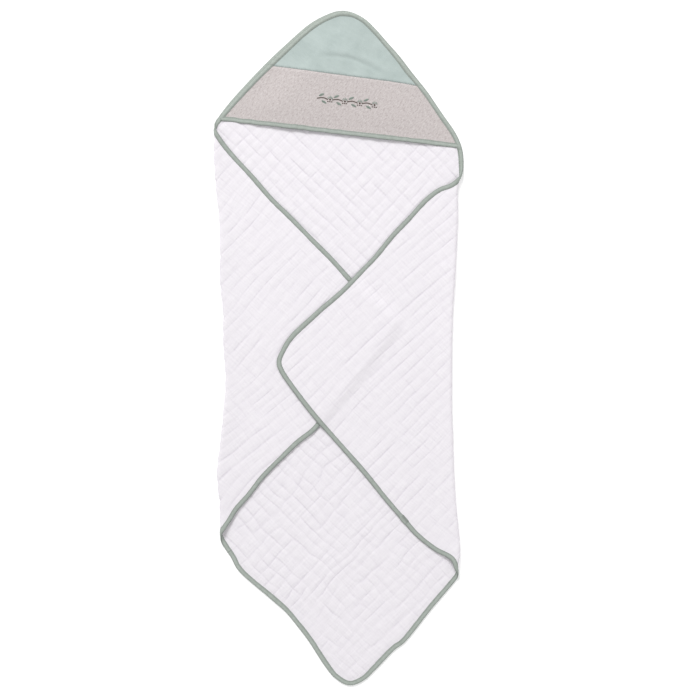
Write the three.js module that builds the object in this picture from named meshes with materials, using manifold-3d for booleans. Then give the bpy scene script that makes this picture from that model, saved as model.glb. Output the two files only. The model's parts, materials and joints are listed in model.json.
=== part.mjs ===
// Hooded baby towel: a square of crinkled muslin with a hood across one corner and binding all
// round, lying face up with its two side corners folded over the middle.
// Millimetres, +Z up, hood towards +Y. Layers of cloth are flat plates with a small gap between.

import * as THREE from 'three';
import { mergeVertices } from 'three/addons/utils/BufferGeometryUtils.js';
import Module from 'manifold-3d';

const wasm = await Module();
wasm.setup();

// ---- driving dimensions -------------------------------------------------------------------

const GAP = 0.3; // clearance between two pieces that touch on the real towel

// The opened towel: the four corners as if they were sharp, how far each is rounded, and how
// far each edge bows outwards at every sixth of its length, from its first corner to its second.
const CORNER = {
  top: { at: [-2, 572], round: 80 },
  right: { at: [487, -17], round: 36 },
  bottom: { at: [14, -563], round: 50 },
  left: { at: [-487, 35], round: 34 },
};
const EDGE = [
  { from: 'top', to: 'right', bow: [12, 5, -20, -17, -12] },
  { from: 'right', to: 'bottom', bow: [7, 9, 18, 9, 7] },
  { from: 'bottom', to: 'left', bow: [-12, -2, -8, -3, -3] },
  { from: 'left', to: 'top', bow: [-7, -7, 2, 13, 7] },
];
const EDGE_STEPS = 14; // straight steps along one edge
const CORNER_STEPS = 6; // straight steps round one corner

// Fold lines run along Y. Each flap turns about its own line, at the height given.
const LEFT_FOLD = { x: -192, axisZ: 3.15 };
const RIGHT_FOLD = { x: 187, axisZ: 5.35 };

// Cloth and binding, as they lie from the underside up.
const BINDING_WIDTH = 8;
const BINDING_HEIGHT = 3;
const BINDING_WALL = 0.7; // thickness of each leg of the folded binding
const BINDING_SPINE = 1; // thickness at its folded edge
const CLOTH_STEP = 0.4; // how much lower the puffed muslin is than its binding
const CLOTH_HEIGHT = BINDING_HEIGHT - CLOTH_STEP;
const LAYER = BINDING_HEIGHT + GAP; // rise from one layer of towel to the next

// The right flap climbs over the left one: full height up to the first x, level past the second.
const CLIMB = { from: 118, to: 158 };

// The binding's lap join, by its share of the way along the edge from the right corner.
const LAP = { along: 0.465, length: 15, width: 10, height: 0.8 };

// Hood: the mouth's middle line and the seam below the upper panel, by their two ends.
const MOUTH = { left: [-184, 368], right: [187, 325] };
const SEAM = { left: [-109, 453], right: [122, 422] };
const MOUTH_BINDING = { width: 8, under: 0.8, over: 0.7, spine: 1.2 };
const HOOD = {
  base: CLOTH_HEIGHT + GAP + MOUTH_BINDING.under, // underside of the lining at the sewn edges
  rise: 9, // how far the hood's front stands up at the middle
  slopeWidth: 40, // distance over which it rises from a sewn edge
  lining: 0.7,
  backing: 0.4,
  panel: 1,
  edgeOver: 0.6, // how far the binding at the hood's edge stands above the hood's layers
};

// Embroidery on the hood's band: a row of thread pieces about its own middle.
const MOTIF = {
  at: [11, 395],
  angle: -7,
  length: 96,
  thread: 1.6,
  wave: 2.2, // how far a stem arches up
  height: 0.7,
  leaf: { length: 8.6, width: 3.8, tilt: 26, fromStart: [2.4, 7.6] },
  knot: 3.2,
  space: 1.6, // between a knot and the stems on both sides
};
const BACKING_SIZE = [112, 26];

// ---- materials ----------------------------------------------------------------------------

const cloth = (color, roughness) => new THREE.MeshStandardMaterial({ color, roughness, metalness: 0 });
const MATERIAL = {
  muslin: cloth('#f6f2f4', 0.95),
  binding: cloth('#a3ada4', 0.9),
  sage: cloth('#bccac6', 0.92),
  melange: cloth('#d7cfcc', 0.92),
  lining: cloth('#f4f1ee', 0.95),
  backing: cloth('#f8f8f6', 0.9),
  darkThread: cloth('#5b4a41', 0.6),
  sageThread: cloth('#8b9c92', 0.6),
};

// ---- solids -------------------------------------------------------------------------------

function toManifold(source) {
  const geometry = source.clone();
  geometry.deleteAttribute('normal');
  geometry.deleteAttribute('uv');
  const merged = mergeVertices(geometry, 1e-5);
  return new wasm.Manifold(new wasm.Mesh({
    numProp: 3,
    vertProperties: new Float32Array(merged.attributes.position.array),
    triVerts: new Uint32Array(merged.index.array),
  }));
}

function toMesh(solid, name, material) {
  const data = solid.getMesh();
  const geometry = new THREE.BufferGeometry();
  const places = new Float32Array((data.vertProperties.length / data.numProp) * 3);
  for (let i = 0; i < places.length / 3; i += 1) {
    for (let k = 0; k < 3; k += 1) {
      places[3 * i + k] = data.vertProperties[data.numProp * i + k];
    }
  }
  geometry.setAttribute('position', new THREE.BufferAttribute(places, 3));
  geometry.setIndex(new THREE.BufferAttribute(new Uint32Array(data.triVerts), 1));
  geometry.computeVertexNormals();
  const mesh = new THREE.Mesh(geometry, material);
  mesh.name = name;
  return mesh;
}

// A flat-ended prism on a closed outline, from one height to another.
function prism(points, low, high) {
  const shape = new THREE.Shape(points);
  const geometry = new THREE.ExtrudeGeometry(shape, { depth: high - low, bevelEnabled: false });
  geometry.translate(0, 0, low);
  return toManifold(geometry);
}

function box([x0, y0, z0], [x1, y1, z1]) {
  const geometry = new THREE.BoxGeometry(x1 - x0, y1 - y0, z1 - z0);
  geometry.translate((x0 + x1) / 2, (y0 + y1) / 2, (z0 + z1) / 2);
  return toManifold(geometry);
}

// ---- outlines -----------------------------------------------------------------------------

const vector = ([x, y]) => new THREE.Vector2(x, y);
const smooth = (t) => t * t * (3 - 2 * t);
const clamp01 = (t) => Math.min(1, Math.max(0, t));

function edgeCurve({ from, to, bow }) {
  const start = vector(CORNER[from].at);
  const end = vector(CORNER[to].at);
  const along = end.clone().sub(start);
  const outward = new THREE.Vector2(-along.y, along.x).normalize();
  const stations = [0, ...bow, 0].map((offset, i, all) => start.clone()
    .addScaledVector(along, i / (all.length - 1))
    .addScaledVector(outward, offset));
  return new THREE.SplineCurve(stations);
}

// The point on a curve at a given length from its start.
const pointAtLength = (curve, length) => curve.getPointAt(length / curve.getLength());

function fullOutline() {
  const curves = EDGE.map(edgeCurve);
  const points = [];
  EDGE.forEach((edge, i) => {
    const curve = curves[i];
    const total = curve.getLength();
    const first = CORNER[edge.from].round;
    const last = total - CORNER[edge.to].round;
    for (let k = 0; k <= EDGE_STEPS; k += 1) {
      points.push(pointAtLength(curve, first + ((last - first) * k) / EDGE_STEPS));
    }
    const next = curves[(i + 1) % EDGE.length];
    const corner = new THREE.QuadraticBezierCurve(
      points.at(-1),
      vector(CORNER[edge.to].at),
      pointAtLength(next, CORNER[edge.to].round),
    );
    points.push(...corner.getPoints(CORNER_STEPS).slice(1, -1));
  });
  return points;
}

// The outline moved inwards by a constant distance.
function inset(points, distance) {
  return points.map((point, i) => {
    const before = points.at(i - 1);
    const after = points[(i + 1) % points.length];
    const along = after.clone().sub(before).normalize();
    return new THREE.Vector2(point.x + along.y * distance, point.y - along.x * distance);
  });
}

const mirrored = (points, x) => points.map((point) => new THREE.Vector2(2 * x - point.x, point.y));

// ---- one part of the towel: its panel and the binding on its edge -----------------------------

const FAR = 700;
const OUTLINE = fullOutline();

// The band of plan between two insets of an outline, over a range of heights.
function rim(points, outer, inner, low, high) {
  return prism(inset(points, outer), low, high).subtract(prism(inset(points, inner), low - 1, high + 1));
}

// Muslin: full height away from the edge, pressed thin where the binding grips it.
function panelSolid(points, level) {
  const field = prism(inset(points, BINDING_WIDTH + GAP), level, level + CLOTH_HEIGHT);
  const tongue = prism(
    inset(points, BINDING_SPINE + GAP),
    level + BINDING_WALL + GAP,
    level + BINDING_HEIGHT - BINDING_WALL - GAP,
  );
  return field.add(tongue);
}

// Binding: a tape folded over the edge, open towards the cloth.
function bindingSolid(points, level) {
  const whole = rim(points, 0, BINDING_WIDTH, level, level + BINDING_HEIGHT);
  const slot = prism(
    inset(points, BINDING_SPINE),
    level + BINDING_WALL,
    level + BINDING_HEIGHT - BINDING_WALL,
  );
  return whole.subtract(slot);
}

// ---- towel: middle and flaps ----------------------------------------------------------------

const middleZone = box([LEFT_FOLD.x, -FAR, -1], [RIGHT_FOLD.x, FAR, 40]);
const hoodZone = prism(mouthStrip(-MOUTH_BINDING.width / 2, FAR), -1, 40);

// Plan of everything from one distance above the mouth's middle line to another.
function mouthStrip(from, to) {
  return seamStrip(MOUTH, from, to);
}

function seamStrip({ left, right }, from, to) {
  const start = vector(left);
  const along = vector(right).sub(start).normalize();
  const above = new THREE.Vector2(-along.y, along.x);
  const corner = (u, v) => start.clone().addScaledVector(along, u).addScaledVector(above, v);
  return [corner(-FAR, from), corner(2 * FAR, from), corner(2 * FAR, to), corner(-FAR, to)];
}

function middlePanel() {
  return panelSolid(OUTLINE, 0).intersect(middleZone);
}

function lowerBinding() {
  return bindingSolid(OUTLINE, 0).intersect(box([LEFT_FOLD.x, -FAR, -1], [RIGHT_FOLD.x, 0, 40]));
}

// Round the hood the binding is taller, because it holds the hood's layers as well.
function hoodEdgeBinding() {
  const thin = bindingSolid(OUTLINE, 0).intersect(box([LEFT_FOLD.x, 0, -1], [RIGHT_FOLD.x, FAR, 40]));
  const upper = rim(OUTLINE, 0, BINDING_WIDTH, BINDING_HEIGHT, HOOD_EDGE_HEIGHT)
    .intersect(middleZone)
    .intersect(hoodZone);
  return thin.add(upper);
}

// A flap is what lies past its fold line, turned over on to the middle and clear of the hood.
const belowHood = prism(mouthStrip(-2 * FAR, -MOUTH_BINDING.width / 2 - GAP), -1, 40);

function leftFlap(make) {
  const folded = mirrored(OUTLINE, LEFT_FOLD.x).reverse();
  return make(folded, LAYER)
    .intersect(box([LEFT_FOLD.x, -FAR, -1], [FAR, FAR, 40]))
    .intersect(belowHood);
}

// Raises a plate of the right flap from its own layer on to the layer above the left flap.
function climb(solidAtZero) {
  const rise = (x) => LAYER * smooth(clamp01((CLIMB.to - x) / (CLIMB.to - CLIMB.from)));
  const xs = [-FAR];
  const rampSteps = 5;
  for (let i = 0; i <= rampSteps; i += 1) {
    xs.push(CLIMB.from + ((CLIMB.to - CLIMB.from) * i) / rampSteps);
  }
  xs.push(FAR);
  // each stretch between two stations is sheared to its slope, and the stretches are joined
  const stretches = xs.slice(1).map((x1, i) => {
    const x0 = xs[i];
    const slope = (rise(x1) - rise(x0)) / (x1 - x0);
    return solidAtZero
      .intersect(box([x0, -FAR, -5], [x1, FAR, 45]))
      .transform([1, 0, slope, 0, 0, 1, 0, 0, 0, 0, 1, 0, 0, 0, rise(x0) - slope * x0, 1]);
  });
  return stretches.reduce((sum, stretch) => sum.add(stretch));
}

function rightFlap(make) {
  const folded = mirrored(OUTLINE, RIGHT_FOLD.x).reverse();
  return climb(make(folded, LAYER)
    .intersect(box([-FAR, -FAR, -1], [RIGHT_FOLD.x, FAR, 40]))
    .intersect(belowHood));
}

function lapJoin() {
  const edge = edgeCurve(EDGE[1]);
  const along = edge.getTangentAt(LAP.along);
  const middle = edge.getPointAt(LAP.along)
    .add(new THREE.Vector2(along.y, -along.x).multiplyScalar(BINDING_WIDTH / 2));
  const half = LAP.length / 2;
  const side = LAP.width / 2;
  const top = 2 * LAYER + BINDING_HEIGHT;
  const folded = THREE.MathUtils.radToDeg(Math.atan2(along.y, -along.x));
  return box([-half, -side, 0], [half, side, LAP.height])
    .rotate([0, 0, folded])
    .translate([2 * RIGHT_FOLD.x - middle.x, middle.y, top + GAP]);
}

// ---- hood -----------------------------------------------------------------------------------

// The front stands up like a low tent: flat along its sewn edges, a slope inside each of them,
// and level in the middle. Each sewn edge is taken as straight, from the tip to the mouth's end.
function slopeFrom(end, turn) {
  const start = vector(CORNER.top.at);
  const along = vector(end).sub(start).normalize();
  const inward = new THREE.Vector2(-along.y, along.x).multiplyScalar(turn);
  const grade = HOOD.rise / HOOD.slopeWidth;
  const offset = -grade * (inward.dot(start) + BINDING_WIDTH + GAP);
  return { x: grade * inward.x, y: grade * inward.y, offset };
}

const SLOPES = [slopeFrom(MOUTH.left, 1), slopeFrom(MOUTH.right, -1)];
const GROUND = box([-FAR, -FAR, -100], [FAR, FAR, 0]);

// Everything below the tent's surface when its flat edges lie at one height.
function belowTent(height) {
  const tent = SLOPES.reduce((sum, slope) => sum.intersect(GROUND.transform([
    1, 0, slope.x, 0,
    0, 1, slope.y, 0,
    0, 0, 1, 0,
    0, 0, slope.offset + height, 1,
  ])), GROUND.translate([0, 0, HOOD.rise + height]));
  return tent.add(GROUND.translate([0, 0, height]));
}

const clearOfEdge = prism(inset(OUTLINE, BINDING_WIDTH + GAP), -1, 40);

const LINING_TOP = HOOD.base + HOOD.lining;
const BACKING_TOP = LINING_TOP + GAP + HOOD.backing;
const PANEL_LOW = BACKING_TOP + GAP;
const PANEL_TOP = PANEL_LOW + HOOD.panel;
const HOOD_EDGE_HEIGHT = PANEL_TOP + HOOD.edgeOver; // of the binding that holds every layer

// One layer of the hood's front, cut to a plan.
function hoodLayer(low, high, plan) {
  return belowTent(high)
    .subtract(belowTent(low))
    .intersect(box([LEFT_FOLD.x, 0, -1], [RIGHT_FOLD.x, FAR, 40]))
    .intersect(clearOfEdge)
    .intersect(plan);
}

const fromMouth = (from) => prism(mouthStrip(from, FAR), -1, 40);

function hoodUpperPanel() {
  return hoodLayer(PANEL_LOW, PANEL_TOP, prism(seamStrip(SEAM, GAP / 2, FAR), -1, 40));
}

function hoodBand() {
  const inSlot = MOUTH_BINDING.spine + GAP - MOUTH_BINDING.width / 2;
  return hoodLayer(PANEL_LOW, PANEL_TOP, fromMouth(inSlot))
    .subtract(prism(seamStrip(SEAM, -GAP / 2, FAR), -2, 41));
}

function hoodLining() {
  const inSlot = MOUTH_BINDING.spine + GAP - MOUTH_BINDING.width / 2;
  return hoodLayer(HOOD.base, LINING_TOP, fromMouth(inSlot));
}

function mouthBinding() {
  const half = MOUTH_BINDING.width / 2;
  const low = HOOD.base - GAP;
  const high = PANEL_TOP + GAP;
  const strip = prism(mouthStrip(-half, half), -1, 40);
  const whole = hoodLayer(low - MOUTH_BINDING.under + GAP, high + MOUTH_BINDING.over, strip);
  const slot = hoodLayer(low, high, prism(mouthStrip(MOUTH_BINDING.spine - half, FAR), -2, 41));
  return whole.subtract(slot);
}

// ---- embroidery -------------------------------------------------------------------------------

const toBand = (solid) => solid
  .rotate([0, 0, MOTIF.angle])
  .translate([MOTIF.at[0], MOTIF.at[1], HOOD.rise]);

const motifLow = PANEL_TOP + GAP;
const motifHigh = motifLow + MOTIF.height;

function stemCurve(from, to) {
  const stations = [];
  const count = 6;
  for (let i = 0; i <= count; i += 1) {
    const x = from + ((to - from) * i) / count;
    stations.push(new THREE.Vector2(x, MOTIF.wave * Math.sin((Math.PI * i) / count)));
  }
  return new THREE.SplineCurve(stations);
}

function stem(from, to) {
  const points = stemCurve(from, to).getPoints(12);
  const upper = points.map((p) => new THREE.Vector2(p.x, p.y + MOTIF.thread / 2));
  const lower = points.map((p) => new THREE.Vector2(p.x, p.y - MOTIF.thread / 2)).reverse();
  return toBand(prism([...upper, ...lower], motifLow, motifHigh));
}

function leaf(x, y, angle) {
  const { length, width } = MOTIF.leaf;
  const shape = [
    ...new THREE.QuadraticBezierCurve(
      new THREE.Vector2(0, 0),
      new THREE.Vector2(length / 2, width),
      new THREE.Vector2(length, 0),
    ).getPoints(6),
    ...new THREE.QuadraticBezierCurve(
      new THREE.Vector2(length, 0),
      new THREE.Vector2(length / 2, -width),
      new THREE.Vector2(0, 0),
    ).getPoints(6).slice(1, -1),
  ];
  return toBand(prism(shape, motifLow, motifHigh).rotate([0, 0, angle]).translate([x, y, 0]));
}

function knot(x, y) {
  const geometry = new THREE.CylinderGeometry(MOTIF.knot / 2, MOTIF.knot / 2, MOTIF.height, 12);
  geometry.rotateX(Math.PI / 2);
  geometry.translate(x, y, (motifLow + motifHigh) / 2);
  return toBand(toManifold(geometry));
}

function backing() {
  const [length, width] = BACKING_SIZE;
  return toBand(box(
    [-length / 2, -width / 2, LINING_TOP + GAP],
    [length / 2, width / 2, BACKING_TOP],
  ));
}

// ---- assembly ---------------------------------------------------------------------------------

const towel = new THREE.Group();
towel.name = 'hooded_baby_towel';
const add = (name, solid, material) => towel.add(toMesh(solid, name, material));

add('towel_middle', middlePanel(), MATERIAL.muslin);
add('towel_left_corner', leftFlap(panelSolid), MATERIAL.muslin);
add('towel_right_corner', rightFlap(panelSolid), MATERIAL.muslin);
add('binding_hood_edge', hoodEdgeBinding(), MATERIAL.binding);
add('binding_lower_corner', lowerBinding(), MATERIAL.binding);
add('binding_left_corner', leftFlap(bindingSolid), MATERIAL.binding);
add('binding_right_corner', rightFlap(bindingSolid), MATERIAL.binding);
add('binding_lap_join', lapJoin(), MATERIAL.binding);
add('hood_upper_panel', hoodUpperPanel(), MATERIAL.sage);
add('hood_band', hoodBand(), MATERIAL.melange);
add('hood_lining', hoodLining(), MATERIAL.lining);
add('hood_mouth_binding', mouthBinding(), MATERIAL.binding);
add('embroidery_backing', backing(), MATERIAL.backing);

// The row repeats one sprig: a stem, a leaf above it, a leaf below it and a knot after it.
const SPRIGS = 4;
const pitch = MOTIF.length / SPRIGS;
const knotRoom = MOTIF.knot + 2 * MOTIF.space;
const halfLeaf = MOTIF.leaf.width / 2;
const aboveStem = MOTIF.wave + MOTIF.thread / 2 + GAP + halfLeaf / 2;
const belowStem = -(MOTIF.thread / 2 + GAP + halfLeaf);
for (let i = 0; i < SPRIGS; i += 1) {
  const start = -MOTIF.length / 2 + i * pitch;
  const [up, down] = MOTIF.leaf.fromStart.map((distance) => start + distance);
  add(`embroidered_stem_${i + 1}`, stem(start, start + pitch - knotRoom), MATERIAL.darkThread);
  add(`embroidered_leaf_${i + 1}_up`, leaf(up, aboveStem, MOTIF.leaf.tilt), MATERIAL.sageThread);
  add(`embroidered_leaf_${i + 1}_down`, leaf(down, belowStem, -MOTIF.leaf.tilt), MATERIAL.sageThread);
  add(`embroidered_knot_${i + 1}`, knot(start + pitch - knotRoom / 2, 0), MATERIAL.darkThread);
}

// Origin: the middle of the folded towel's own box, on its underside.
const bounds = new THREE.Box3().setFromObject(towel);
const middle = bounds.getCenter(new THREE.Vector3());
towel.children.forEach((mesh) => mesh.position.set(-middle.x, -middle.y, -bounds.min.z));

export default towel;
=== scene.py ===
"""Hooded baby towel, folded for display: the looks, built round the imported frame.

Lengths in this script are millimetres until a mesh is made. The towel is drawn on a plan of its
own, seen from above with the hood up the page. Each side corner is a flap that bends over a fold
line. A place on a flap is (d, y): how far it lies past the fold line, measured on the cloth, and
how far up the page it is.
"""

import json
import math

import bpy
import numpy as np
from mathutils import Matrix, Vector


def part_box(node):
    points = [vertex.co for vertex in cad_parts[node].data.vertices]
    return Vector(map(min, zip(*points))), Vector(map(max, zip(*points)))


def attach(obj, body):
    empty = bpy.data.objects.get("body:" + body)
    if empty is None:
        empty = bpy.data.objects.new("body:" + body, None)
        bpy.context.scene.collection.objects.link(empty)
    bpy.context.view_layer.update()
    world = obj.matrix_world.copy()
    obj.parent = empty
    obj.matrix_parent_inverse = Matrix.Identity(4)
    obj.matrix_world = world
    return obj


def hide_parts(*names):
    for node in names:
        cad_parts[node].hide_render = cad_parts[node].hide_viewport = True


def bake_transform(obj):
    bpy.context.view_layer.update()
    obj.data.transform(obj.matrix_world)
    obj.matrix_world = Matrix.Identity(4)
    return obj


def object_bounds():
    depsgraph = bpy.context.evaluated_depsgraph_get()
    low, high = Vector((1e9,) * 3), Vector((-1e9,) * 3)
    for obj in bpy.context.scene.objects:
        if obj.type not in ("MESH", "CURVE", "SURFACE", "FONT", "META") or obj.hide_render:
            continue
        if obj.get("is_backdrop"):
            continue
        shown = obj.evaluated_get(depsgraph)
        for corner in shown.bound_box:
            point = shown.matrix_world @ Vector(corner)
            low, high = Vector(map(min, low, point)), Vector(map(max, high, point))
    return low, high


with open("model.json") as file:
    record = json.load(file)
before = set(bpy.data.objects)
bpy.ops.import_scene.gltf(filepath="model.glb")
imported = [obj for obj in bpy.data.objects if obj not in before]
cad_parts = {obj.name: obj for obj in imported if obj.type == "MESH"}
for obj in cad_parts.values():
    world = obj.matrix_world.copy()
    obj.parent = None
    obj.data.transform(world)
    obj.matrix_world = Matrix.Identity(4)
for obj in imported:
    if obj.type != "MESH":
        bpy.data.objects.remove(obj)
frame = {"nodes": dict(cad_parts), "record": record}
CAD_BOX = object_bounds()

MM = 0.001
JOINTS = {joint["name"]: joint for joint in frame["record"]["behaviour"]["joints"]}

# ---- the drawing's sizes ---------------------------------------------

LEFT, RIGHT = 1, -1  # which way a flap folds: +1 towards +X, -1 towards -X

FOLD_LINE = {
    LEFT: [(-200, 372), (-201.5, 348), (-201.5, 300), (-198, 250), (-193.5, 210), (-192, 160),
           (-192, 108), (-187, 55), (-187, 12), (-183, -50), (-187, -108), (-192, -155),
           (-197, -203), (-192.5, -250), (-191.5, -302), (-188, -330)],
    RIGHT: [(199, 335), (203, 305), (196.5, 284), (188.5, 255), (188.5, 205), (184, 110),
            (180, 38), (179, -80), (181, -155), (182.5, -203), (185.5, -250), (190.5, -300),
            (192, -330), (189, -352)],
}

# The middle line of the binding, clockwise from the hood's tip, as it lies in the folded towel.
TIP_TO_RIGHT = [(5, 539.5), (28, 533), (49, 517), (91, 469), (128, 421), (162, 374), (191, 325)]
RIGHT_FLAP = [(189, 269), (158, 253), (130, 229), (108, 205), (86, 181), (66, 157), (22, 109),
              (-31, 61), (-58, 37), (-82, 13), (-94, -9), (-98, -23), (-94, -36), (-79, -59),
              (-42, -107), (0, -155), (42, -203), (81, -251), (102, -275), (123, -299),
              (153, -323), (181, -339)]
LOWER = [(184, -371), (143, -419), (104, -468), (84, -484), (54, -515), (36, -532), (16, -539),
         (-3, -530), (-17, -515), (-48, -468), (-86, -421), (-141, -374), (-163, -353), (-173, -335),
         (-182, -321)]
LEFT_FLAP = [(-178, -275), (-161, -251), (-120, -203), (-72, -155), (-35, -122), (14, -59),
             (64, 4), (83, 26), (88, 38), (82, 50), (40, 86), (-5, 133), (-52, 181),
             (-100, 229), (-143, 277), (-186, 325)]
LEFT_TO_TIP = [(-190, 373), (-149.5, 421), (-102, 469), (-51, 515), (-18, 534)]

MOUTH = [(-191, 369), (-90, 357.5), (40, 342.5), (120, 333.5), (195, 324.5)]
SEAM = [(-116, 454.5), (-60, 447), (20, 436), (80, 428.5), (132, 420.5)]
CREASE = [(-34, 470), (-8, 468.5), (16, 465), (44, 454), (76, 437)]

BINDING_HALF = 3.9  # half the binding's width
CLOTH_Z = 2.0  # middle of the lowest layer of cloth
LAYER = 3.3  # from one layer to the next
SPLIT = 14.0  # how far inside a fold line the flap's piece begins
TONGUE = 5.0  # how far that piece runs on inside the middle's cloth
CROSSING = 2.5  # where on the tongue the flap's cloth passes below the middle's
HOOD_GAP = 1.9  # hood's front above the cloth at its sewn edges
HOOD_RISE = 5.6  # how much higher it stands between them
PANEL_HALF = 0.42  # half the thickness of the hood's panels
EDGE_STEP = 2.0  # between neighbouring places of the outline and of the hood's lines
WAVER = 0.77  # how far the sewn edge strays from its drawn line

# Where the drawing's origin lies in the frame.
DRAWN_FOLD_X = -192.0
DRAWN_TOP_Y = 544.8
ORIGIN = np.array([
    JOINTS["left_corner_fold"]["pos_m"][0] / MM - DRAWN_FOLD_X,
    CAD_BOX[1][1] / MM - DRAWN_TOP_Y,
    0.0,
])


# ---- small mathematics -----------------------------------------------

def smooth(t):
    t = np.clip(t, 0.0, 1.0)
    return t * t * (3.0 - 2.0 * t)


def curve_through(points, per_span=12, closed=False):
    """A Catmull-Rom curve through the points, as many short straight steps."""
    p = np.asarray(points, float)
    if closed:
        ring = np.concatenate([p[-1:], p, p[:2]])
    else:
        ring = np.concatenate([2 * p[:1] - p[1:2], p, 2 * p[-1:] - p[-2:-1]])
    t = np.arange(per_span)[:, None] / per_span
    spans = []
    for a, b, c, d in zip(ring[:-3], ring[1:-2], ring[2:-1], ring[3:]):
        spans.append(0.5 * (2 * b + (c - a) * t + (2 * a - 5 * b + 4 * c - d) * t ** 2
                            + (3 * b - a - 3 * c + d) * t ** 3))
    made = np.concatenate(spans)
    return made if closed else np.concatenate([made, p[-1:]])


def lengths(line):
    return np.concatenate([[0.0], np.cumsum(np.linalg.norm(np.diff(line, axis=0), axis=1))])


def resampled(line, step):
    at = lengths(line)
    count = max(2, int(round(at[-1] / step)) + 1)
    s = np.linspace(0.0, at[-1], count)
    return np.stack([np.interp(s, at, line[:, k]) for k in range(line.shape[1])], axis=1)


LATTICE = 64


def noise(x, y, seed):
    """Smooth random values from -1 to 1, about one bump per unit."""
    table = np.random.RandomState(seed).rand(LATTICE, LATTICE) * 2 - 1
    x, y = np.broadcast_arrays(np.asarray(x, float), np.asarray(y, float))
    i, j = np.floor(x).astype(int), np.floor(y).astype(int)
    u, v = smooth(x - i), smooth(y - j)
    at = lambda a, b: table[a % LATTICE, b % LATTICE]
    low = at(i, j) * (1 - u) + at(i + 1, j) * u
    high = at(i, j + 1) * (1 - u) + at(i + 1, j + 1) * u
    return low * (1 - v) + high * v


def inside(points, polygon):
    x, y = points[:, 0], points[:, 1]
    held = np.zeros(len(points), bool)
    for (x0, y0), (x1, y1) in zip(polygon, np.roll(polygon, -1, axis=0)):
        if y0 == y1:
            continue
        crosses = (y0 > y) != (y1 > y)
        held ^= crosses & (x < (x1 - x0) * (y - y0) / (y1 - y0) + x0)
    return held


def nearest_on(points, line, closed=False, chunk=20000):
    """For each point: its distance to the line, the length along the line, and the near point."""
    line = np.asarray(line, float)
    ends = np.concatenate([line, line[:1]]) if closed else line
    a, b = ends[:-1], ends[1:]
    ab = b - a
    size = np.maximum((ab ** 2).sum(1), 1e-12)
    start = lengths(ends)[:-1]
    distance, along, near = [], [], []
    for k in range(0, len(points), chunk):
        p = points[k:k + chunk]
        t = np.clip(((p[:, None] - a[None]) * ab[None]).sum(2) / size[None], 0, 1)
        foot = a[None] + t[..., None] * ab[None]
        gap = ((p[:, None] - foot) ** 2).sum(2)
        best = gap.argmin(1)
        row = np.arange(len(p))
        distance.append(np.sqrt(gap[row, best]))
        along.append(start[best] + t[row, best] * np.sqrt(size[best]))
        near.append(foot[row, best])
    return np.concatenate(distance), np.concatenate(along), np.concatenate(near)


# ---- the towel's outline and fold lines ------------------------------

FOLD_CURVE = {side: curve_through(points)[::-1] for side, points in FOLD_LINE.items()}
FOLD_ENDS = {LEFT: (350, -304), RIGHT: (302, -346)}
ROLL = math.pi / 2  # half the cloth in a fold's roll, for a roll of radius 1


def roll_radius(side, y):
    top, bottom = FOLD_ENDS[side]
    near_end = np.exp(-((y - top) / 24) ** 2) + np.exp(-((y - bottom) / 24) ** 2)
    return 3.3 + 1.2 * near_end + 0.4 * noise(y / 55, 0.3, 11 + side)


def fold_x(side, y):
    """The fold line on the plan. It lies a little outside the line that shows, because the cloth
    needs that length to go round the roll."""
    curve = FOLD_CURVE[side]
    shown = np.interp(y, curve[:, 1], curve[:, 0])
    return shown - side * (ROLL - 1) * roll_radius(side, y)


def turned_out(points, side):
    """Places on a folded flap, as they lie when the flap is turned back out on the plan. The
    same mirroring folds them back."""
    p = np.asarray(points, float)
    return np.stack([2 * fold_x(side, p[:, 1]) - p[:, 0], p[:, 1]], axis=1)


EDGE = resampled(curve_through(np.concatenate([
    TIP_TO_RIGHT,
    turned_out(RIGHT_FLAP, RIGHT),
    LOWER,
    turned_out(LEFT_FLAP, LEFT),
    LEFT_TO_TIP,
]), closed=True), EDGE_STEP)
EDGE = EDGE + WAVER * noise(EDGE[:, 0] / 34, EDGE[:, 1] / 34, 7)[:, None]
EDGE_COARSE = EDGE[::4]


def past_fold(side, plan):
    """How far places on the opened plan lie past a fold line."""
    return side * (fold_x(side, plan[:, 1]) - plan[:, 0])


def stretch(first, last):
    """The outline's indices from one to another, going clockwise."""
    if last < first:
        last += len(EDGE)
    return np.arange(first, last + 1) % len(EDGE)


def edge_between(first, last):
    return EDGE[stretch(first, last)]


def flap_stretch(side):
    """First and last index of the outline's stretch that belongs to a flap's piece."""
    own = past_fold(side, EDGE) > -SPLIT
    starts = np.flatnonzero(own & ~np.roll(own, 1))
    ends = np.flatnonzero(own & ~np.roll(own, -1))
    return int(starts[0]), int(ends[-1])


EDGE_DIRECTIONS = np.roll(EDGE, -1, 0) - np.roll(EDGE, 1, 0)
EDGE_DIRECTIONS /= np.linalg.norm(EDGE_DIRECTIONS, axis=1)[:, None]
RIGHT_FROM, RIGHT_TO = flap_stretch(RIGHT)
LEFT_FROM, LEFT_TO = flap_stretch(LEFT)


# ---- how the cloth lies ----------------------------------------------

SCALLOP = {LEFT: 1.5, RIGHT: 0.8}


def scallop(side, y):
    """Small bulges of the crinkled cloth between the notches of its fold."""
    phase = y / 24 + 0.5 * noise(y / 60, 2.7, 21 + side)
    bulge = np.abs(np.sin(math.pi * phase)) ** 0.6 - 0.6
    return SCALLOP[side] * bulge * (0.65 + 0.5 * noise(y / 70, 5.1, 23 + side))


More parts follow.
